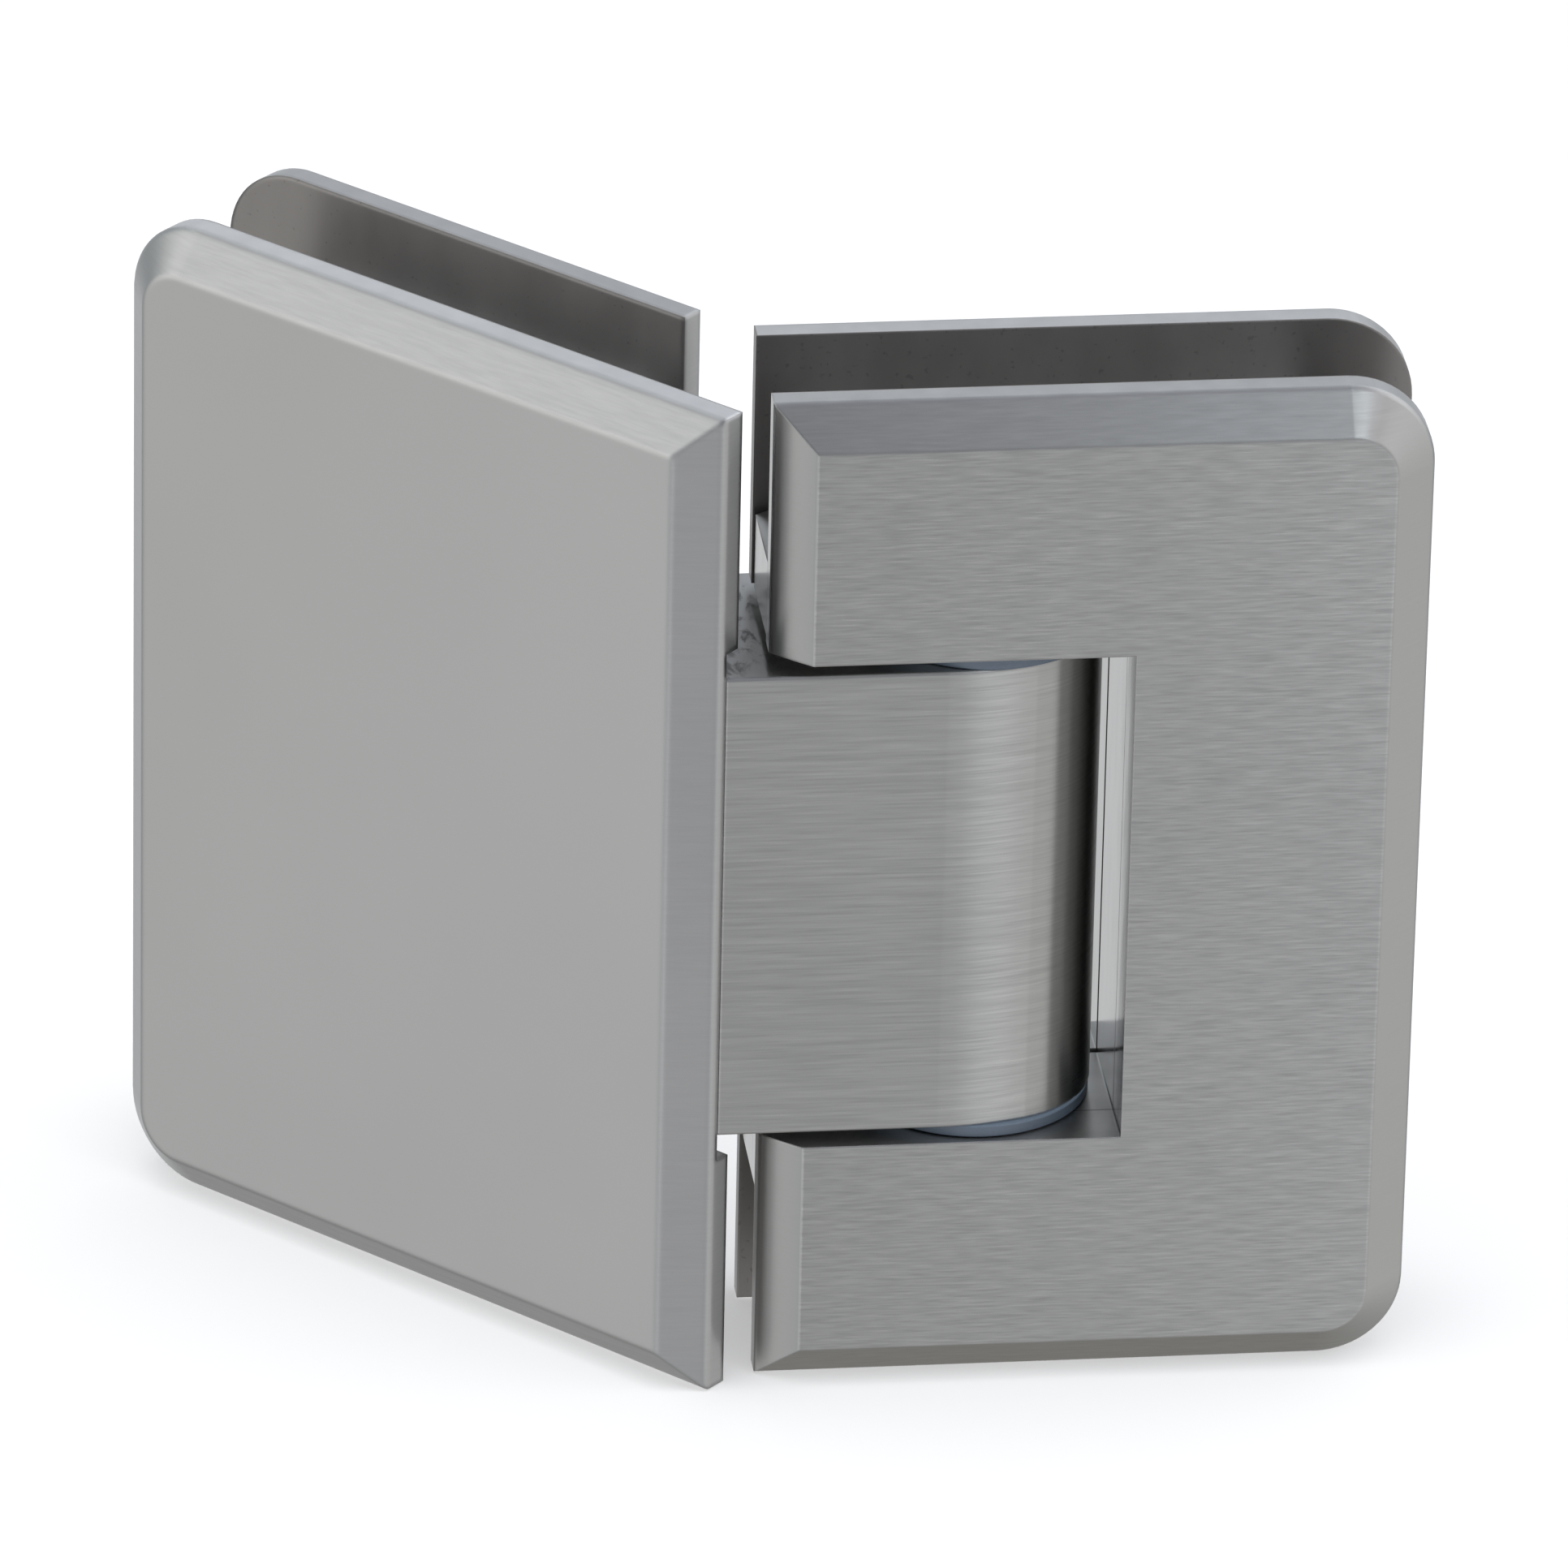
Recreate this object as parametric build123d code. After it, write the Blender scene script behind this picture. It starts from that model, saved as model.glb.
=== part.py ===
from build123d import *
import math
import os

# A glass-to-glass shower door hinge for two panels that meet at 135 degrees.
# Frame: Z runs up the pivot axis, with the origin halfway up it. The door leaf lies along +X with its
# outer faces towards -Y. The fixed leaf leaves the pivot at 135 degrees to the door leaf, measured on
# the +Y side. Each part of the fixed leaf is drawn lying along X with its outer side towards +Y, and
# is then turned by that angle about the pivot axis.

# ---- driving dimensions, mm ----
HEIGHT = 90.0               # every clamp plate
LEAF_ANGLE = 135.0
GLASS = 8.0                 # panel thickness that the clamps are set for
GASKET = 1.5
GAP = GLASS + 2 * GASKET    # between the inner faces of a pair of clamp plates

# bevelled clamp plate
RIM = 2.2                   # straight side wall
BEVEL_RISE = 2.8
BEVEL_INSET = 3.4
PLATE = RIM + BEVEL_RISE
CORNER_R = 7.2              # corners away from the pivot
RIDGE_R = 0.7               # between the side wall and the bevel
FACE_EDGE_R = 0.45          # between the bevel and the face

# door leaf, x from the pivot axis
DOOR_NEAR = -18.7
DOOR_FAR = 36.1
NOTCH_FAR = 11.4
NOTCH_HALF = 22.35

# pin housing cast on the door leaf's outer plate
HOUSING_INSET = 0.15
HOUSING_FAR = 21.0
HOUSING_HALF = 29.0
HOUSING_REAR_GAP = 0.7      # to the rear plate, taken up as the glass is clamped
LOBE_HALF = 31.6            # the housing is taller round each ear screw
LOBE_X = (-11.0, -7.5, -4.0)

# fixed leaf, u along the leaf from the pivot axis, v out from it
FIXED_OFFSET = 16.0         # from the pivot axis to the middle of the fixed glass
FIXED_NEAR = 8.8
FIXED_REAR_NEAR = 23.8
FIXED_FAR = 72.3
FIXED_REAR_FAR = 72.9
POCKET_DEPTH = 2.6
POCKET_HALF = 23.5
LIP = 0.75                  # left of the side wall in front of the pocket

# pivot block
BARREL_R = 10.0
NOSE_START = 4.0             # the barrel starts to curve this far before the pivot
NOSE_EASE_R = 25.0
BLOCK_HALF = 21.2
TONGUE_NEAR = 21.0
TONGUE_FAR = 59.0
TONGUE_HALF = 29.0
TONGUE_REAR_GAP = 0.7
TONGUE_CORNER_R = 5.0
BLOCK_EDGE_R = 0.3

# pivot pin and its bushings
PIN_R = 4.0
PIN_HALF = 28.4
PIN_BORE_R = 4.25
PIN_SEAT_R = 4.02
FLAT_DEPTH = 0.8            # of the detent flats
CLAMP_FLAT = 3.0            # from the axis to the flats for the set screws
SLEEVE_R = 5.5
SLEEVE_LENGTH = 7.0
SLEEVE_BORE_R = 4.05
FLANGE_R = 9.9
FLANGE = 1.05

# detent: plunger, spring and plug in a bore along X
DETENT_Z = 8.5
DETENT_BORE_R = 4.35
PLUNGER_R = 4.3
PLUNGER_TIP = 4.05          # from the pivot axis
PLUNGER_LENGTH = 8.95
SPRING_SEAT_R = 2.9
SPRING_SEAT_DEPTH = 3.0
SPRING_R = 2.2
SPRING_WIRE = 0.9
SPRING_TURNS = 6
SPRING_BACK = 20.0          # from the pivot axis
PLUG_LENGTH = 5.0

# fasteners: M5 countersunk and set screws with hexagon sockets
SCREW_R = 2.45
TAPPED_R = 2.5
HEAD_R = 4.95
HEAD_SEAT_R = 5.0
HEAD_LIP = 0.25
SOCKET_ACROSS = 3.0
SOCKET_DEPTH = 1.9
DOOR_SCREW_LENGTH = 13.5
FIXED_SCREW_LENGTH = 13.0
BLOCK_SCREW_LENGTH = 13.4
GRUB_OUT = 9.6              # y of the set screws' outer ends
GRUB_SOCKET_ACROSS = 2.5
PLUG_SOCKET_ACROSS = 4.0
DOOR_SCREWS = [(-9.8, 27.8), (-9.8, -27.8), (17.0, 24.6), (17.0, -24.6)]
FIXED_SCREWS = [(36.0, 20.0), (36.0, -20.0), (53.0, 20.0), (53.0, -20.0)]
BLOCK_SCREWS = [(44.5, 12.0), (44.5, -12.0)]
PIN_CLAMP_Z = (NOTCH_HALF + HOUSING_HALF) / 2

# gaskets
GASKET_INSET = 8.0
GASKET_NEAR_INSET = 3.0
GASKET_CORNER_R = 2.5
CUTOUT_HALF = 32.4          # of the glass panel, round the housing and the tongue
CUTOUT_MARGIN = 1.0

HALF = HEIGHT / 2
FIXED_FRONT_V = FIXED_OFFSET + GAP / 2
FIXED_REAR_V = FIXED_OFFSET - GAP / 2


# ---- helpers ----
def xz_box(x0, x1, z0, z1, y0, y1):
    size = (x1 - x0, y1 - y0, z1 - z0)
    return Pos((x0 + x1) / 2, (y0 + y1) / 2, (z0 + z1) / 2) * Box(*size)


def along_y(radius, x, z, y0, y1):
    """A cylinder along Y between two heights."""
    return Pos(x, (y0 + y1) / 2, z) * Rot(90, 0, 0) * Cylinder(radius, y1 - y0)


def along_x(radius, x0, x1, z):
    return Pos((x0 + x1) / 2, 0, z) * Rot(0, 90, 0) * Cylinder(radius, x1 - x0)


def leaf_to_row(u, v):
    """A point of the fixed leaf's own plan in the row frame."""
    a = math.radians(LEAF_ANGLE)
    return (u * math.cos(a) - v * math.sin(a), u * math.sin(a) + v * math.cos(a))


def turned(leaf_part):
    return Rot(0, 0, LEAF_ANGLE) * leaf_part


def bevelled_plate(near, far):
    """A clamp plate with its inner face on y = 0 and its outer face towards -Y."""
    outline = Plane.XZ * Pos((near + far) / 2, 0) * Rectangle(far - near, HEIGHT)
    corners = [v for v in outline.vertices() if v.X > (near + far) / 2]
    slab = extrude(fillet(corners, CORNER_R), PLATE)
    face = slab.faces().sort_by(Axis.Y)[0]
    plate = chamfer(face.edges(), length=BEVEL_INSET, length2=BEVEL_RISE, reference=face)
    ridge = [e for e in plate.edges() if abs(e.center().Y + RIM) < 0.01]
    plate = fillet(ridge, RIDGE_R)
    rim_of_face = [e for e in plate.edges() if abs(e.center().Y + PLATE) < 0.01]
    return fillet(rim_of_face, FACE_EDGE_R)


def notched(plate):
    """The door plates are cut square through round the barrel."""
    reach = 5.0
    return plate - xz_box(DOOR_NEAR - reach, NOTCH_FAR, -NOTCH_HALF, NOTCH_HALF, -20, 20)


def countersunk_seats(x, z, face_y, sign, depth):
    """A countersunk through hole from a face at face_y; sign is the way that the screw points."""
    deep = HEAD_SEAT_R - TAPPED_R
    profile = [(0, 0), (HEAD_SEAT_R, 0), (HEAD_SEAT_R, HEAD_LIP), (TAPPED_R, HEAD_LIP + deep)]
    profile += [(TAPPED_R, depth), (0, depth)]
    return placed_along_y(profile, x, z, face_y, sign)


def placed_along_y(profile, x, z, y, sign):
    """A profile of (radius, depth) turned about Y, starting at y and going the way of sign."""
    points = [(r, sign * d) for r, d in profile]
    ring = make_face(Polyline(*points, close=True))
    return Pos(x, y, z) * revolve(ring, Axis.Y)


def hex_prism_y(across, x, z, y0, y1):
    sketch = Plane.XZ * RegularPolygon(across / 2, 6, major_radius=False)
    return Pos(x, y1, z) * extrude(sketch, y1 - y0)


def countersunk_screw(x, z, face_y, sign, length):
    cone = HEAD_R - SCREW_R
    profile = [(0, 0), (HEAD_R, 0), (HEAD_R, HEAD_LIP), (SCREW_R, HEAD_LIP + cone)]
    profile += [(SCREW_R, length - 0.5), (SCREW_R - 0.5, length), (0, length)]
    body = placed_along_y(profile, x, z, face_y, sign)
    ends = sorted((face_y - sign * 0.1, face_y + sign * SOCKET_DEPTH))
    return body - hex_prism_y(SOCKET_ACROSS, x, z, *ends)


def group(solids):
    return Compound(children=list(solids))


# ---- door leaf ----
def pin_housing():
    """The U-shaped housing inside the glass cut-out, which holds both ends of the pin."""
    near = DOOR_NEAR + HOUSING_INSET
    y0 = -GAP / 2
    y1 = GAP / 2 - HOUSING_REAR_GAP
    top = [(near, HOUSING_HALF), (LOBE_X[0], LOBE_HALF), (LOBE_X[1], LOBE_HALF)]
    top += [(LOBE_X[2], HOUSING_HALF), (HOUSING_FAR, HOUSING_HALF)]
    points = top + [(x, -z) for x, z in reversed(top)]
    outline = make_face(Plane.XZ * Polyline(*points, close=True))
    body = Pos(0, y0, 0) * extrude(outline, y1 - y0, dir=(0, 1, 0))
    far_edges = [e for e in body.edges().filter_by(Axis.Y) if e.center().X > HOUSING_FAR - 1]
    body = fillet(far_edges, 3.0)
    return notched(body)


def pin_seat():
    return Cylinder(PIN_SEAT_R, 2 * HOUSING_HALF + 10)


def clamp_screw_holes(y0, y1):
    return [along_y(TAPPED_R, 0, z, y0, y1) for z in (PIN_CLAMP_Z, -PIN_CLAMP_Z)]


def door_front_plate():
    plate = Pos(0, -GAP / 2, 0) * notched(bevelled_plate(DOOR_NEAR, DOOR_FAR))
    body = plate + pin_housing()
    body -= pin_seat()
    blind = -GAP / 2 - PLATE + 2.0
    for x, z in DOOR_SCREWS:
        body -= along_y(TAPPED_R, x, z, blind, GAP / 2)
    for hole in clamp_screw_holes(0, GAP / 2):
        body -= hole
    return body


def door_rear_plate():
    plate = mirror(bevelled_plate(DOOR_NEAR, DOOR_FAR), about=Plane.XZ)
    body = notched(Pos(0, GAP / 2, 0) * plate)
    outer = GAP / 2 + PLATE
    for x, z in DOOR_SCREWS:
        body -= countersunk_seats(x, z, outer, -1, PLATE + 1)
    for hole in clamp_screw_holes(GAP / 2 - 1, outer + 1):
        body -= hole
    return body


def door_plate_screws():
    outer = GAP / 2 + PLATE
    return group(countersunk_screw(x, z, outer, -1, DOOR_SCREW_LENGTH) for x, z in DOOR_SCREWS)


def pin_set_screws():
    screws = []
    for z in (PIN_CLAMP_Z, -PIN_CLAMP_Z):
        body = along_y(SCREW_R, 0, z, CLAMP_FLAT, GRUB_OUT)
        screws.append(body - hex_prism_y(GRUB_SOCKET_ACROSS, 0, z, GRUB_OUT - 2.2, GRUB_OUT + 0.1))
    return group(screws)


def pivot_pin():
    """Four detent flats in the barrel and one clamping flat at each end."""
    pin = Cylinder(PIN_R, 2 * PIN_HALF)
    pin = chamfer(pin.edges().filter_by(GeomType.CIRCLE), 0.6)
    across = 2 * (PIN_R - FLAT_DEPTH)
    flat_height = 2 * PLUNGER_R + 1.0
    for side in (1, -1):
        ring = Box(3 * PIN_R, 3 * PIN_R, flat_height) - Box(across, across, flat_height)
        pin -= Pos(0, 0, side * DETENT_Z) * ring
        low = min(side * (NOTCH_HALF + 0.3), side * (PIN_HALF + 1))
        high = max(side * (NOTCH_HALF + 0.3), side * (PIN_HALF + 1))
        pin -= xz_box(-2 * PIN_R, 2 * PIN_R, low, high, CLAMP_FLAT, 2 * PIN_R)
    return pin


def gasket(near, far, cutout_far, y0, y1):
    """A C-shaped strip round the panel's cut-out, between two heights along Y."""
    outline = Plane.XZ * Pos((near + far) / 2, 0) * Rectangle(far - near, HEIGHT - 2 * GASKET_INSET)
    sheet = Pos(0, y1, 0) * extrude(fillet(outline.vertices(), GASKET_CORNER_R), y1 - y0)
    return sheet - xz_box(near - 5, cutout_far, -CUTOUT_HALF, CUTOUT_HALF, y0 - 1, y1 + 1)


def door_gasket(y0, y1):
    near = DOOR_NEAR + GASKET_NEAR_INSET
    far = DOOR_FAR - GASKET_INSET
    return gasket(near, far, HOUSING_FAR + CUTOUT_MARGIN, y0, y1)


def door_front_gasket():
    return door_gasket(-GAP / 2, -GLASS / 2)


def door_rear_gasket():
    return door_gasket(GLASS / 2, GAP / 2)


# ---- fixed leaf ----
def fixed_front_plate():
    plate = mirror(bevelled_plate(FIXED_NEAR, FIXED_FAR), about=Plane.XZ)
    body = Pos(0, FIXED_FRONT_V, 0) * plate
    pocket_v = FIXED_FRONT_V + RIM - LIP
    body -= xz_box(0, FIXED_NEAR + POCKET_DEPTH, -POCKET_HALF, POCKET_HALF, 0, pocket_v)
    for u, z in BLOCK_SCREWS:
        body -= along_y(TAPPED_R, u, z, FIXED_FRONT_V - 1, FIXED_FRONT_V + PLATE - 1.2)
    return turned(body)


def fixed_rear_plate():
    body = Pos(0, FIXED_REAR_V, 0) * bevelled_plate(FIXED_REAR_NEAR, FIXED_REAR_FAR)
    outer = FIXED_REAR_V - PLATE
    for u, z in FIXED_SCREWS:
        body -= countersunk_seats(u, z, outer, 1, PLATE + 1)
    return turned(body)


def nose_arcs():
    """The barrel's outline: a slow curve off each of the neck's flats, then a round tip."""
    rise = NOSE_EASE_R - BARREL_R
    tip_x = NOSE_START**2 / (2 * (rise - NOSE_START))
    turn = math.atan2(tip_x + NOSE_START, rise)

    def eased(angle, side):
        x = -NOSE_START + NOSE_EASE_R * math.sin(angle)
        return (x, side * (NOSE_EASE_R * math.cos(angle) - rise))

    arcs = [ThreePointArc((-NOSE_START, side * BARREL_R), eased(turn / 2, side), eased(turn, side))
            for side in (-1, 1)]
    return arcs + [ThreePointArc(eased(turn, -1), (BARREL_R, 0), eased(turn, 1))]


def block_plan():
    """Barrel, neck and the root of the tongue, seen along the pivot axis."""
    slack = 0.06
    nib_v = FIXED_FRONT_V + RIM - LIP - slack
    nib_u = FIXED_NEAR + POCKET_DEPTH - slack
    rear_v = FIXED_REAR_V + TONGUE_REAR_GAP
    heel_u = FIXED_REAR_NEAR - 0.5
    # the neck's flat sides, y = -BARREL_R and y = BARREL_R, cross the leaf at 45 degrees
    run = BARREL_R / math.sin(math.radians(LEAF_ANGLE))
    leaf_points = [(nib_v - run, nib_v), (nib_u, nib_v), (nib_u, FIXED_FRONT_V)]
    leaf_points += [(TONGUE_NEAR + 5, FIXED_FRONT_V), (TONGUE_NEAR + 5, rear_v)]
    leaf_points += [(heel_u, rear_v), (heel_u, heel_u - run)]
    points = [(-NOSE_START, -BARREL_R)] + [leaf_to_row(u, v) for u, v in leaf_points]
    points += [(-NOSE_START, BARREL_R)]
    return make_face(Curve() + [Polyline(*points)] + nose_arcs())


def tongue():
    """The part of the block that fills the fixed panel's cut-out, between the clamp plates."""
    outline = Rectangle(TONGUE_FAR - TONGUE_NEAR, 2 * TONGUE_HALF)
    outline = fillet(outline.vertices(), TONGUE_CORNER_R)
    rear_v = FIXED_REAR_V + TONGUE_REAR_GAP
    place = Plane.XZ * Pos((TONGUE_NEAR + TONGUE_FAR) / 2, 0)
    body = Pos(0, FIXED_FRONT_V, 0) * extrude(place * outline, FIXED_FRONT_V - rear_v)
    for u, z in FIXED_SCREWS:
        body -= along_y(TAPPED_R, u, z, rear_v - 1, FIXED_FRONT_V + 1)
    for u, z in BLOCK_SCREWS:
        body -= countersunk_seats(u, z, rear_v, 1, FIXED_FRONT_V - rear_v + 1)
    return turned(body)


def pivot_block():
    body = extrude(block_plan(), BLOCK_HALF, both=True)
    ends = body.faces().filter_by(Axis.Z)
    front = [e for f in ends for e in f.edges() if e.center().Y < -BARREL_R + 4]
    front = [e for e in front if e.center().X > leaf_to_row(FIXED_NEAR, FIXED_FRONT_V)[0]]
    body = fillet(front, BLOCK_EDGE_R)
    body += tongue()
    body -= Cylinder(PIN_BORE_R, 2 * BLOCK_HALF + 2)
    depth = SLEEVE_LENGTH + 0.3
    for side in (1, -1):
        body -= Pos(0, 0, side * (BLOCK_HALF - depth / 2 + 0.5)) * Cylinder(SLEEVE_R, depth + 1)
        body -= along_x(DETENT_BORE_R, -40, 0, side * DETENT_Z)
    return body


def flanged_bushing(side):
    """A sleeve in the barrel with a flange that spaces the barrel from the ear."""
    flange = Pos(0, 0, side * (BLOCK_HALF + FLANGE / 2)) * Cylinder(FLANGE_R, FLANGE)
    flange = fillet(flange.edges().filter_by(GeomType.CIRCLE), 0.15)
    sleeve = Pos(0, 0, side * (BLOCK_HALF - SLEEVE_LENGTH / 2 + 0.25))
    body = flange + sleeve * Cylinder(SLEEVE_R, SLEEVE_LENGTH + 0.5)
    return body - Cylinder(SLEEVE_BORE_R, 2 * HALF)


def detent_plunger(side):
    z = side * DETENT_Z
    back = -PLUNGER_TIP - PLUNGER_LENGTH
    nose = -PLUNGER_TIP - PLUNGER_R
    body = along_x(PLUNGER_R, back, nose, z) + Pos(nose, 0, z) * Sphere(PLUNGER_R)
    return body - along_x(SPRING_SEAT_R, back - 1, back + SPRING_SEAT_DEPTH, z)


def detent_spring(side):
    front = -PLUNGER_TIP - PLUNGER_LENGTH + SPRING_SEAT_DEPTH - SPRING_WIRE / 2 - 0.05
    length = SPRING_BACK + front - SPRING_WIRE / 2 - 0.05
    path = Helix(length / SPRING_TURNS, length, SPRING_R)
    wire = sweep((path ^ 0) * Circle(SPRING_WIRE / 2), path=path, is_frenet=True)
    return Pos(front, 0, side * DETENT_Z) * Rot(0, -90, 0) * wire


def detent_plug(side):
    z = side * DETENT_Z
    back = -SPRING_BACK - PLUG_LENGTH
    body = along_x(PLUNGER_R, back, -SPRING_BACK, z)
    socket = Plane.YZ * RegularPolygon(PLUG_SOCKET_ACROSS / 2, 6, major_radius=False)
    return body - Pos(back - 0.1, 0, z) * extrude(socket, 2.6)


def fixed_plate_screws():
    outer = FIXED_REAR_V - PLATE
    screws = [countersunk_screw(u, z, outer, 1, FIXED_SCREW_LENGTH) for u, z in FIXED_SCREWS]
    return group(turned(s) for s in screws)


def block_screws():
    rear_v = FIXED_REAR_V + TONGUE_REAR_GAP
    screws = [countersunk_screw(u, z, rear_v, 1, BLOCK_SCREW_LENGTH) for u, z in BLOCK_SCREWS]
    return group(turned(s) for s in screws)


def fixed_front_gasket():
    near = TONGUE_NEAR - 1.0
    far = FIXED_FAR - GASKET_INSET
    strip = gasket(near, far, TONGUE_FAR + CUTOUT_MARGIN, FIXED_FRONT_V - GASKET, FIXED_FRONT_V)
    return turned(strip)


def fixed_rear_gasket():
    near = FIXED_REAR_NEAR + GASKET_NEAR_INSET
    far = FIXED_FAR - GASKET_INSET
    strip = gasket(near, far, TONGUE_FAR + CUTOUT_MARGIN, FIXED_REAR_V, FIXED_REAR_V + GASKET)
    return turned(strip)


NODES = {
    "door_front_plate": door_front_plate,
    "door_rear_plate": door_rear_plate,
    "door_front_gasket": door_front_gasket,
    "door_rear_gasket": door_rear_gasket,
    "door_plate_screws": door_plate_screws,
    "pivot_pin": pivot_pin,
    "pin_set_screws": pin_set_screws,
    "fixed_front_plate": fixed_front_plate,
    "fixed_rear_plate": fixed_rear_plate,
    "fixed_front_gasket": fixed_front_gasket,
    "fixed_rear_gasket": fixed_rear_gasket,
    "fixed_plate_screws": fixed_plate_screws,
    "pivot_block": pivot_block,
    "block_screws": block_screws,
    "upper_bushing": lambda: flanged_bushing(1),
    "lower_bushing": lambda: flanged_bushing(-1),
    "upper_detent_plunger": lambda: detent_plunger(1),
    "lower_detent_plunger": lambda: detent_plunger(-1),
    "upper_detent_spring": lambda: detent_spring(1),
    "lower_detent_spring": lambda: detent_spring(-1),
    "upper_detent_plug": lambda: detent_plug(1),
    "lower_detent_plug": lambda: detent_plug(-1),
}

os.makedirs("parts", exist_ok=True)
for name, build in NODES.items():
    export_step(build(), f"parts/{name}.step")
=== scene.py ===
import bpy
import math
from mathutils import Matrix, Vector


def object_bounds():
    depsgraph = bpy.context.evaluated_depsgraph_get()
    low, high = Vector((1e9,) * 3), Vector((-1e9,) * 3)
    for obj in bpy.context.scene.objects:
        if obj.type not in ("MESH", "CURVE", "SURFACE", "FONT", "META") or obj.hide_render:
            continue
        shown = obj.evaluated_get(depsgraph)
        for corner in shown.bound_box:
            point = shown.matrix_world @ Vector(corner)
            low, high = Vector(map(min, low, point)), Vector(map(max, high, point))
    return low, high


# A glass door hinge in satin nickel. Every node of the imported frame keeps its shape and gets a
# procedural material here, and the script adds the floor, the lights and the camera.

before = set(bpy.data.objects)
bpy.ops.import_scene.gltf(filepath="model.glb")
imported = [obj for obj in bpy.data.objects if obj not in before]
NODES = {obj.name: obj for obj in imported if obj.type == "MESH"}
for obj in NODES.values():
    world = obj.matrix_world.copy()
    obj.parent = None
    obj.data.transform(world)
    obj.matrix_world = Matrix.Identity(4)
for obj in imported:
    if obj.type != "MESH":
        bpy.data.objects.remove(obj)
cad_low, cad_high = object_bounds()
scene = bpy.context.scene
MM = 0.001
LEAF_ANGLE = 135.0          # the fixed leaf's direction about Z, in degrees
UP = (0.0, 0.0, 1.0)
OFF_UP = (0.0005, 0.0003, 0.0)      # keeps the grain's direction from being zero on a level face


# ---------------------------------------------------------------- shader nodes
NOISE_SPAN = (0.3, 0.7)     # where most of a noise's values lie
HAIR_SPAN = (0.2, 0.8)


class Graph:
    """Short names for the shader nodes that the materials and the world are made of."""

    def __init__(self, tree, output):
        self.tree = tree
        tree.nodes.clear()
        self.output = self.add(output)

    def add(self, kind, **settings):
        node = self.tree.nodes.new(kind)
        for key, value in settings.items():
            setattr(node, key, value)
        return node

    def link(self, source, target):
        self.tree.links.new(source, target)

    def put(self, socket, value):
        if isinstance(value, bpy.types.NodeSocket):
            self.link(value, socket)
        else:
            socket.default_value = value

    def call(self, kind, values, output=0, **settings):
        """Adds a node, fills its inputs from a dictionary and gives one of its outputs."""
        node = self.add(kind, **settings)
        for key, value in values.items():
            self.put(node.inputs[key], value)
        return node.outputs[output]

    def math(self, operation, a, b=0.0, c=0.0):
        return self.call("ShaderNodeMath", {0: a, 1: b, 2: c}, operation=operation)

    def absolute(self, value):
        return self.math("ABSOLUTE", value)

    def product(self, first, *rest):
        for value in rest:
            first = self.math("MULTIPLY", first, value)
        return first

    def vector(self, operation, a, b):
        output = "Value" if operation == "DOT_PRODUCT" else "Vector"
        return self.call("ShaderNodeVectorMath", {0: a, 1: b}, output, operation=operation)

    def scaled(self, vector, scale):
        return self.call("ShaderNodeVectorMath", {0: vector, "Scale": scale}, operation="SCALE")

    def unit(self, vector):
        return self.call("ShaderNodeVectorMath", {0: vector}, operation="NORMALIZE")

    def split(self, vector):
        node = self.add("ShaderNodeSeparateXYZ")
        self.put(node.inputs[0], vector)
        return node.outputs

    def noise(self, place, scale, detail, rough, distortion=0.0):
        """scale is in cycles per metre, one number or one for each axis."""
        if isinstance(scale, tuple):
            place, scale = self.vector("MULTIPLY", place, scale), 1.0
        values = {"Vector": place, "Scale": scale, "Detail": detail, "Roughness": rough,
                  "Distortion": distortion}
        return self.call("ShaderNodeTexNoise", values, "Fac")

    def range(self, value, span, result):
        """span, a pair, becomes result, another pair; values outside it are clamped."""
        values = {"Value": value, "From Min": span[0], "From Max": span[1],
                  "To Min": result[0], "To Max": result[1]}
        return self.call("ShaderNodeMapRange", values)

    def spread(self, noise, low, high):
        return self.range(noise, NOISE_SPAN, (low, high))

    def mix(self, factor, a, b):
        return self.call("ShaderNodeMix", {0: factor, 2: a, 3: b}, data_type="FLOAT")

    def mix_vector(self, factor, a, b):
        return self.call("ShaderNodeMix", {0: factor, 4: a, 5: b}, 1, data_type="VECTOR")

    def bump(self, height, strength, distance, normal=None):
        values = {"Height": height, "Strength": strength, "Distance": distance}
        if normal is not None:
            values["Normal"] = normal
        return self.call("ShaderNodeBump", values)


class Material(Graph):
    """A new material, whose surface() is called last."""

    def __init__(self, name):
        self.material = bpy.data.materials.new(name)
        self.material.use_nodes = True
        super().__init__(self.material.node_tree, "ShaderNodeOutputMaterial")

    def surface(self, **inputs):
        values = {key.replace("_", " "): value for key, value in inputs.items()}
        self.link(self.call("ShaderNodeBsdfPrincipled", values), self.output.inputs["Surface"])
        return self.material


# ---------------------------------------------------------------- nickel
ROUGHNESS = 0.31
GRAIN_HEIGHT = 0.03 * MM
HAIRS_ACROSS = 5200.0       # brushed lines per metre
BRUSHED_BUMP = 0.10
EDGE_ROUGHNESS = 0.28
EDGE_SHADE = 1.04
POLISHED_BUMP = 0.03
DULL_BUMP = 0.08
ANISOTROPY = 0.9
WARM_NICKEL = (0.60, 0.597, 0.585)
PLAIN_NICKEL = (0.60, 0.60, 0.597)
DULL_TINT = (1.03, 0.985, 0.965)


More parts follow.
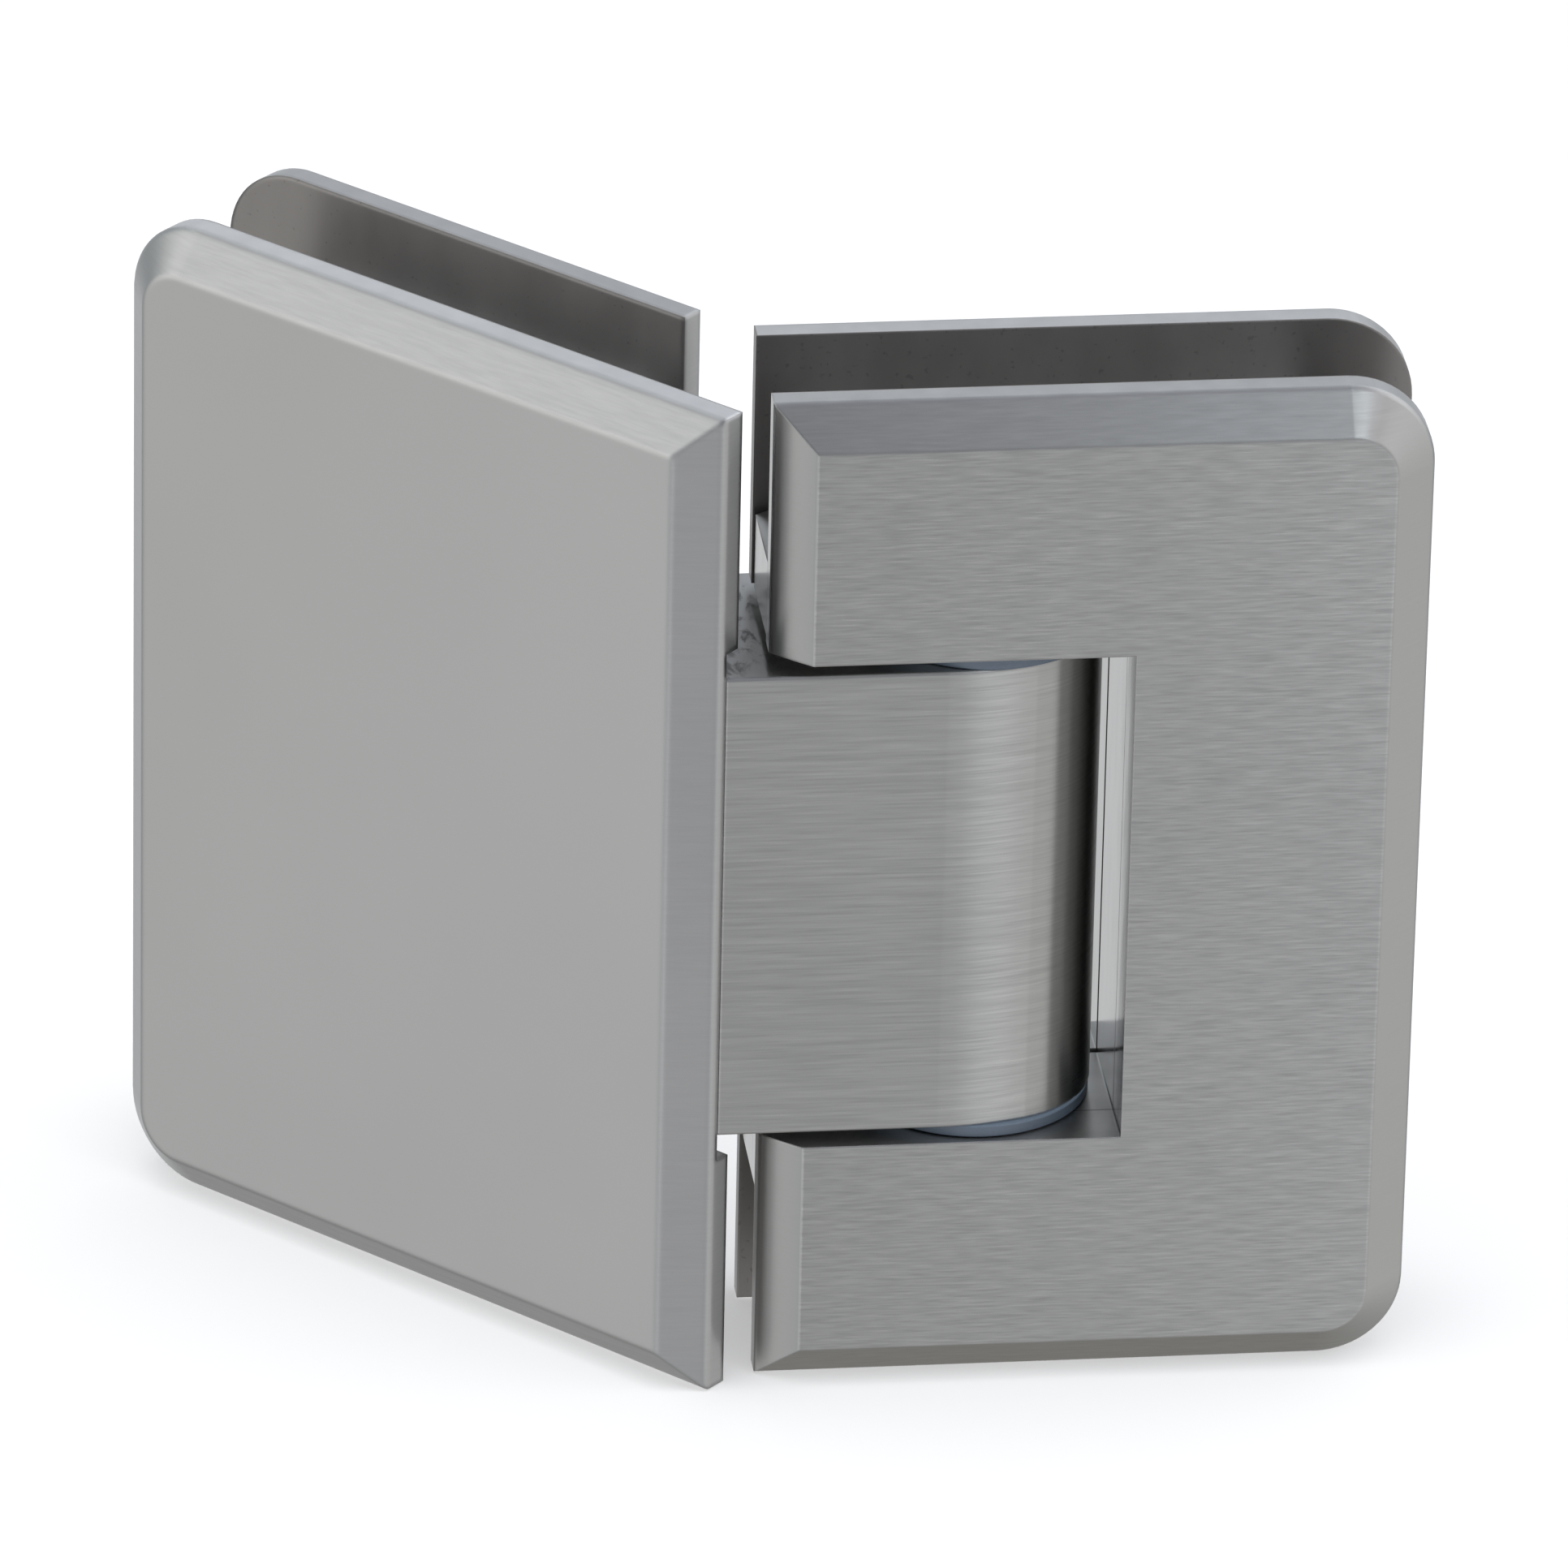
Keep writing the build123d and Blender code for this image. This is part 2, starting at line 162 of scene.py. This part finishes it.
class Nickel(Material):
    """Satin nickel, brushed level all round. Its steps are called in the order that they stand here."""

    def __init__(self, name, angle=0.0, base=WARM_NICKEL, hair_length=300.0, edge_radius=0.25 * MM,
                 grain=(1.0, 0.6, 0.1)):
        """angle turns x along the leaf. hair_length is in cycles per metre. The three grain numbers
        are for the flat face, the sloping top and bottom, and the leaf's ends."""
        super().__init__(name)
        self.base = base
        self.true = self.add("ShaderNodeNewGeometry").outputs["Normal"]
        self.place = self.turned(self.add("ShaderNodeTexCoord").outputs["Object"], angle)
        along, _, up = self.split(self.turned(self.true, angle))
        self.along, self.steep = along, self.absolute(up)
        self.soften_edges(edge_radius)

        on_face, on_slope, on_end = grain
        hair = self.noise(self.place, (hair_length, hair_length, HAIRS_ACROSS), 2.0, 0.6)
        band = self.noise(self.place, (60.0, 60.0, 900.0), 2.0, 0.55)
        cloud = self.noise(self.place, 42.0, 3.0, 0.5)
        amount = self.range(self.steep, (0.15, 0.45), (on_face, on_slope))
        amount = self.mix(self.range(self.absolute(along), (0.15, 0.5), (0.0, 1.0)), amount, on_end)
        self.streak = self.mix(amount, 0.5, self.mix(0.04, hair, band))
        self.tint = self.product(self.range(self.streak, HAIR_SPAN, (0.84, 1.13)),
                                 self.spread(cloud, 0.985, 1.015))
        swing = self.range(self.streak, HAIR_SPAN, (ROUGHNESS + 0.045, ROUGHNESS - 0.045))
        self.roughness = self.math("ADD", swing, self.spread(cloud, -0.02, 0.02))
        self.strength = BRUSHED_BUMP

    def turned(self, vector, angle):
        if not angle:
            return vector
        turn = {"Vector": vector, "Rotation": (0.0, 0.0, -math.radians(angle))}
        return self.call("ShaderNodeMapping", turn, vector_type="POINT")

    def soften_edges(self, radius):
        """Rounds the normal at sharp edges, and makes a mask that is 1 on them."""
        self.rounded = self.call("ShaderNodeBevel", {"Radius": radius}, samples=6)
        turn = self.vector("DOT_PRODUCT", self.rounded, self.true)
        self.edge = self.range(turn, (0.995, 0.90), (0.0, 1.0))

    def within(self, boxes):
        """1 inside any of the boxes, given in millimetres as a low and a high corner, and 0 outside."""
        found = 0.0
        for low, high in boxes:
            mask = 1.0
            for axis, least, most in zip(self.split(self.place), low, high):
                for operation, limit in (("GREATER_THAN", least), ("LESS_THAN", most)):
                    if limit is not None:
                        mask = self.product(self.math(operation, axis, limit * MM), mask)
            found = self.math("MAXIMUM", mask, found)
        return found

    def polish(self, *boxes):
        """Machines the boxes' upright walls bright, and leaves their edges sharp."""
        bright = self.product(self.within(boxes), self.math("LESS_THAN", self.steep, 0.5))
        marks = self.noise(self.place, (700.0, 700.0, 120.0), 2.0, 0.5)
        self.roughness = self.mix(bright, self.roughness, self.spread(marks, 0.12, 0.18))
        self.tint = self.mix(bright, self.tint, self.spread(marks, 0.60, 0.68))
        self.strength = self.mix(bright, self.strength, POLISHED_BUMP)
        self.edge = self.product(self.edge, self.math("SUBTRACT", 1.0, bright))
        self.rounded = self.mix_vector(bright, self.rounded, self.true)

    def dull_and_shaded(self, painted_shade, *boxes):
        """The boxes' walls are mottled and pitted, not brushed, and their colour is darkened by the given
        factor: painted shade on walls that lie in shadow between the plates or at a leaf's near end.
        """
        dull_and_shaded = self.within(boxes)
        mottle = self.noise(self.place, (190.0, 190.0, 110.0), 4.0, 0.55)
        pits = self.range(self.noise(self.place, 1900.0, 1.0, 0.5), (0.68, 0.76), (painted_shade, 0.8 * painted_shade))
        self.tint = self.mix(dull_and_shaded, self.tint, self.product(self.spread(mottle, 0.93, 1.05), pits))
        self.roughness = self.mix(dull_and_shaded, self.roughness, self.spread(mottle, 0.36, 0.42))
        self.strength = self.mix(dull_and_shaded, self.strength, DULL_BUMP)
        self.base = self.vector("MULTIPLY", self.base, self.mix_vector(dull_and_shaded, (1.0, 1.0, 1.0), DULL_TINT))

    def crown(self, middle, half, lean):
        """Bows the near end's bevel, whose middle and half width are in millimetres along x."""
        x = self.split(self.place)[0]
        bow = self.range(x, ((middle - half) * MM, (middle + half) * MM), (-lean, lean))
        on_bevel = self.math("LESS_THAN", self.absolute(self.math("ADD", self.along, 0.6)), 0.3)
        shift = self.call("ShaderNodeCombineXYZ", {0: self.product(bow, on_bevel)})
        self.rounded = self.unit(self.vector("ADD", self.rounded, shift))

    def scuff(self):
        """Tool marks on the level top and bottom, strongest away from the pivot."""
        fade = self.range(self.split(self.place)[0], (-19.0 * MM, -12.0 * MM), (1.0, 0.15))
        level = self.product(self.range(self.steep, (0.7, 0.9), (0.0, 1.0)), fade)
        patch = self.range(self.noise(self.place, 210.0, 2.0, 0.5), (0.40, 0.55), (0.0, 1.0))
        nick = self.noise(self.place, (900.0, 420.0, 900.0), 4.0, 0.65, 0.6)
        nick = self.product(patch, level, self.range(nick, (0.50, 0.62), (0.0, 1.0)))
        self.tint = self.product(self.tint, self.range(nick, (0.0, 1.0), (1.0, 0.62)))
        self.roughness = self.math("MULTIPLY_ADD", nick, 0.12, self.roughness)
        self.streak = self.math("MULTIPLY_ADD", nick, -0.5, self.streak)

    def finish(self, painted_rim_brightness=1.0):
        """Its argument multiplies the colour of the level rims: painted light above 1 and painted shade
        below 1. Highlights spread across the level grain.
        """
        painted_rim = self.range(self.steep, (0.8, 0.97), (1.0, painted_rim_brightness))
        tint = self.product(self.tint, painted_rim, self.range(self.edge, (0.0, 1.0), (1.0, EDGE_SHADE)))
        level = self.vector("ADD", self.vector("CROSS_PRODUCT", self.true, UP), OFF_UP)
        return self.surface(
            Base_Color=self.scaled(self.base, tint), Metallic=1.0,
            Roughness=self.mix(self.edge, self.roughness, EDGE_ROUGHNESS),
            Normal=self.bump(self.streak, self.strength, GRAIN_HEIGHT, self.rounded),
            Anisotropic=ANISOTROPY, Tangent=self.unit(self.vector("CROSS_PRODUCT", self.true, level)))


# ---------------------------------------------------------------- steel and plastic
def speckled(name, base, rough, metallic, scales, tints, swing, bump):
    """scales and tints are for the fine marks and the slow cloud, swing is the marks' roughness."""
    g = Material(name)
    place = g.add("ShaderNodeTexCoord").outputs["Object"]
    marks = g.noise(place, scales[0], 3.0, 0.6)
    cloud = g.noise(place, scales[1], 2.0, 0.5)
    tint = g.product(g.spread(marks, *tints[0]), g.spread(cloud, *tints[1]))
    strength, height = bump
    return g.surface(Base_Color=g.scaled(base, tint), Metallic=metallic,
                     Roughness=g.math("ADD", rough, g.spread(marks, *swing)),
                     Normal=g.bump(marks, strength, height))


def plain_steel(name, base, rough):
    return speckled(name, base, rough, 1.0, scales=(2600.0, 160.0), swing=(-0.04, 0.05),
                    tints=((0.94, 1.04), (0.97, 1.03)), bump=(0.15, 0.02 * MM))


def soft_plastic(name, base, rough):
    return speckled(name, base, rough, 0.0, scales=(3000.0, 120.0), swing=(-0.05, 0.06),
                    tints=((0.95, 1.04), (0.96, 1.03)), bump=(0.2, 0.03 * MM))


# ---------------------------------------------------------------- what each node is made of
def dress(material, *names):
    for name in names:
        mesh = NODES[name].data
        mesh.materials.clear()
        mesh.materials.append(material)


# zones of the plates, in millimetres in their leaf's own directions
NOTCH = ((None, None, -22.4), (11.45, None, 22.4))
HOUSING = ((None, -5.43, None), (None, 5.0, None))
NEAR_END = ((None, None, None), (-18.6, None, None))
NEAR_END_UPPER = ((None, None, 0.0), (-18.6, None, None))
NEAR_END_LOWER = ((None, None, None), (-18.6, None, 0.0))
DOOR_FRONT_INNER = ((None, -5.6, None), (None, -5.43, None))
DOOR_REAR_INNER = ((None, 5.4, None), (None, 5.6, None))
FIXED_INNER = ((None, 10.4, None), (None, 21.6, None))


def dress_door_plates():
    front = Nickel("door_front_nickel")
    front.polish(NOTCH, HOUSING, NEAR_END_UPPER)
    # painted shade: the inner face, in shadow against the glass, and the lower half of the near end are
    # made 0.64 times as light
    front.dull_and_shaded(0.64, DOOR_FRONT_INNER, NEAR_END_LOWER)
    front.crown(middle=-17.0, half=1.7, lean=0.13)
    # painted light: the level rims are made 1.08 times as light
    dress(front.finish(painted_rim_brightness=1.08), "door_front_plate")
    rear = Nickel("door_rear_nickel")
    rear.polish(NOTCH)
    # painted shade: the inner face and the near end are made 0.62 times as light
    rear.dull_and_shaded(0.62, DOOR_REAR_INNER, NEAR_END)
    # painted light: the level rims are made 1.28 times as light, so the front and rear plates are
    # differently lit copies of one nickel
    dress(rear.finish(painted_rim_brightness=1.28), "door_rear_plate")


def dress_fixed_plates():
    # painted light: the front plate's level rims are made 1.42 times as light and the rear plate's 1.05
    # times, so the two are differently lit copies
    for side, painted_rim_brightness in (("front", 1.42), ("rear", 1.05)):
        plate = Nickel(f"fixed_{side}_nickel", LEAF_ANGLE, PLAIN_NICKEL, edge_radius=0.7 * MM,
                       grain=(0.03, 0.45, 0.2))
        # painted shade: the inner faces, in shadow between the plates, are made 0.53 times as light
        plate.dull_and_shaded(0.53, FIXED_INNER)
        dress(plate.finish(painted_rim_brightness), f"fixed_{side}_plate")


def dress_block():
    block = Nickel("block_nickel", hair_length=150.0, grain=(0.85, 0.6, 0.8))
    block.scuff()
    # painted shade: the level top and bottom are made 0.85 times as light
    dress(block.finish(painted_rim_brightness=0.85), "pivot_block")


def dress_small_parts():
    dress(plain_steel("stainless", (0.5, 0.5, 0.5), 0.3), "door_plate_screws", "fixed_plate_screws",
          "block_screws", "pin_set_screws", "upper_detent_plug", "lower_detent_plug")
    dress(plain_steel("ground_steel", (0.56, 0.56, 0.57), 0.22), "pivot_pin")
    dress(plain_steel("spring_wire", (0.4, 0.4, 0.41), 0.35), "upper_detent_spring", "lower_detent_spring")
    dress(soft_plastic("acetal", (0.8, 0.79, 0.75), 0.35), "upper_detent_plunger", "lower_detent_plunger")
    dress(soft_plastic("nylon", (0.105, 0.135, 0.175), 0.38), "upper_bushing", "lower_bushing")
    dress(soft_plastic("gasket", (0.55, 0.57, 0.58), 0.6), "door_front_gasket", "door_rear_gasket",
          "fixed_front_gasket", "fixed_rear_gasket")


# ---------------------------------------------------------------- floor
FLOOR_HALF = 3.0            # metres
FLOOR_GAP = 0.2 * MM        # below the object


def make_floor():
    mesh = bpy.data.meshes.new("floor")
    z = cad_low[2] - FLOOR_GAP
    corners = [(x * FLOOR_HALF, y * FLOOR_HALF, z) for x, y in ((-1, -1), (1, -1), (1, 1), (-1, 1))]
    mesh.from_pydata(corners, [], [(0, 1, 2, 3)])
    floor = bpy.data.objects.new("floor", mesh)
    scene.collection.objects.link(floor)
    paint = Material("floor_paint")
    mesh.materials.append(paint.surface(Base_Color=(0.80, 0.80, 0.80, 1.0), Roughness=0.9,
                                        Specular_IOR_Level=0.0))
    floor.visible_glossy = False
    floor.visible_shadow = False


# ---------------------------------------------------------------- lights
# soft boxes all round, far away: (direction, colour)
LOBE_SPREAD = 6.0           # higher makes them smaller
SOFT_BOXES = [
    ((0, -0.9, -0.45), (0.30, 0.28, 0.28)),         # in front, low
    ((0.6, -0.65, -0.45), (0.37, 0.37, 0.34)),      # front right, low
    ((0.9, 0, -0.45), (0.43, 0.41, 0.39)),          # right, low
    ((-0.9, -0.1, -0.45), (0.11, 0.09, 0.07)),      # left, low
    ((-0.6, -0.65, -0.45), (0.37, 0.39, 0.40)),     # front left, low
    ((0, 0.1, -1), (0.13, 0.10, 0.06)),             # below
    ((0, 0.9, -0.45), (0.73, 0.72, 0.71)),          # behind, low
    ((0.6, -0.5, 0.6), (0.39, 0.35, 0.35)),         # front right, high
    ((0.85, 0, 0.5), (0.66, 0.67, 0.67)),           # right, high
    ((-0.85, 0, 0.5), (0.64, 0.63, 0.62)),          # left, high
    ((0, 0.9, 0.45), (0.13, 0.14, 0.16)),           # behind, high
    ((0, 0, 1), (0.10, 0.09, 0.12)),                # above
    ((-0.6, 0.6, 0.5), (0.29, 0.30, 0.29)),         # behind left, high
    ((0.6, 0.6, 0.5), (0.69, 0.70, 0.73)),          # behind right, high
    ((-1, 0, 0.05), (0.62, 0.61, 0.58)),            # left
]
AMBIENT = (0.02, 0.04, 0.06)

# lit cards near the object, aimed at it: (name, place, watts, colour)
CARDS = [
    ("card_front_right", (0.12, -0.25, -0.12), 0.027, (0.91, 0.93, 1.00)),
    ("card_front_left", (-0.12, -0.25, -0.12), 0.038, (1.00, 0.96, 0.92)),
    ("card_left", (-0.3, -0.05, -0.12), 0.007, (0.76, 0.75, 1.00)),
    ("card_high_right", (0.12, -0.2, 0.25), 0.080, (0.86, 0.96, 1.00)),
    ("card_behind", (-0.05, 0.25, 0.2), 0.009, (1.00, 0.87, 0.79)),
]
CARD_SIDE = 0.12
# each card is three concentric ones, so that its reflection fades out: (share of the watts, size)
CARD_RINGS = ((0.25, 0.55), (0.40, 1.0), (0.35, 1.7))

# the floor's own light, which the metal doesn't reflect and most of which casts no shadow
FLOOR_LIGHT_PLACE = (-0.2, -0.3, 1.6)
FLOOR_LIGHT_SIDE = 1.6
FLOOR_LIGHT_WATTS = {"shadow": 12.6, "fill": 23.4}     # only the first casts a shadow


def make_world():
    world = bpy.data.worlds.new("studio")
    world.use_nodes = True
    g = Graph(world.node_tree, "ShaderNodeOutputWorld")
    ahead = g.unit(g.add("ShaderNodeTexCoord").outputs["Generated"])
    total = AMBIENT
    for direction, color in SOFT_BOXES:
        facing = g.vector("DOT_PRODUCT", ahead, tuple(Vector(direction).normalized()))
        lobe = g.math("EXPONENT", g.math("MULTIPLY_ADD", facing, LOBE_SPREAD, -LOBE_SPREAD))
        total = g.vector("ADD", total, g.scaled(color, lobe))
    sky = g.call("ShaderNodeBackground", {"Color": total})
    g.link(sky, g.output.inputs["Surface"])
    scene.world = world


def area_light(name, place, side, watts, color=(1.0, 1.0, 1.0)):
    """A square light aimed at the origin, which the camera doesn't see."""
    data = bpy.data.lights.new(name, "AREA")
    data.shape = "RECTANGLE"
    data.size = data.size_y = side
    data.energy = watts
    data.color = color
    lamp = bpy.data.objects.new(name, data)
    scene.collection.objects.link(lamp)
    lamp.location = place
    lamp.rotation_euler = (-Vector(place)).to_track_quat("-Z", "Y").to_euler()
    lamp.visible_camera = False
    return lamp


def make_lights():
    make_world()
    for name, place, watts, color in CARDS:
        for ring, (share, size) in enumerate(CARD_RINGS):
            area_light(f"{name}_{ring}", place, CARD_SIDE * size, watts * share, color)
    for kind, watts in FLOOR_LIGHT_WATTS.items():
        lamp = area_light(f"floor_light_{kind}", FLOOR_LIGHT_PLACE, FLOOR_LIGHT_SIDE, watts)
        lamp.visible_glossy = False
        lamp.data.use_shadow = kind == "shadow"
    scene.view_settings.view_transform = "Standard"


# ---------------------------------------------------------------- camera
# the photograph's own viewpoint, in millimetres and degrees
CAMERA_PLACE = (-161.336, -1192.808, 609.2)
CAMERA_YAW = -6.934         # a negative yaw looks to the right of +Y
CAMERA_PITCH = 26.642       # downwards
CAMERA_ROLL = 1.248
SENSOR = 36.0
LENS = 371.48
NEAR_CLIP = 0.05            # metres
FAR_CLIP = 50.0


def make_camera():
    yaw, pitch, roll = (math.radians(a) for a in (CAMERA_YAW, CAMERA_PITCH, CAMERA_ROLL))
    level = math.cos(pitch)
    ahead = Vector((-math.sin(yaw) * level, math.cos(yaw) * level, -math.sin(pitch)))
    right = Vector((math.cos(yaw), math.sin(yaw), 0.0))
    up = right.cross(ahead)
    side = right * math.cos(roll) + up * math.sin(roll)
    top = up * math.cos(roll) - right * math.sin(roll)
    data = bpy.data.cameras.new("camera")
    data.sensor_fit = "HORIZONTAL"
    data.sensor_width = SENSOR
    data.lens = LENS
    data.clip_start, data.clip_end = NEAR_CLIP, FAR_CLIP
    camera = bpy.data.objects.new("camera", data)
    scene.collection.objects.link(camera)
    pose = Matrix((side, top, -ahead)).transposed().to_4x4()
    pose.translation = Vector(CAMERA_PLACE) * MM
    camera.matrix_world = pose
    scene.camera = camera


dress_door_plates()
dress_fixed_plates()
dress_block()
dress_small_parts()
make_floor()
make_lights()
make_camera()
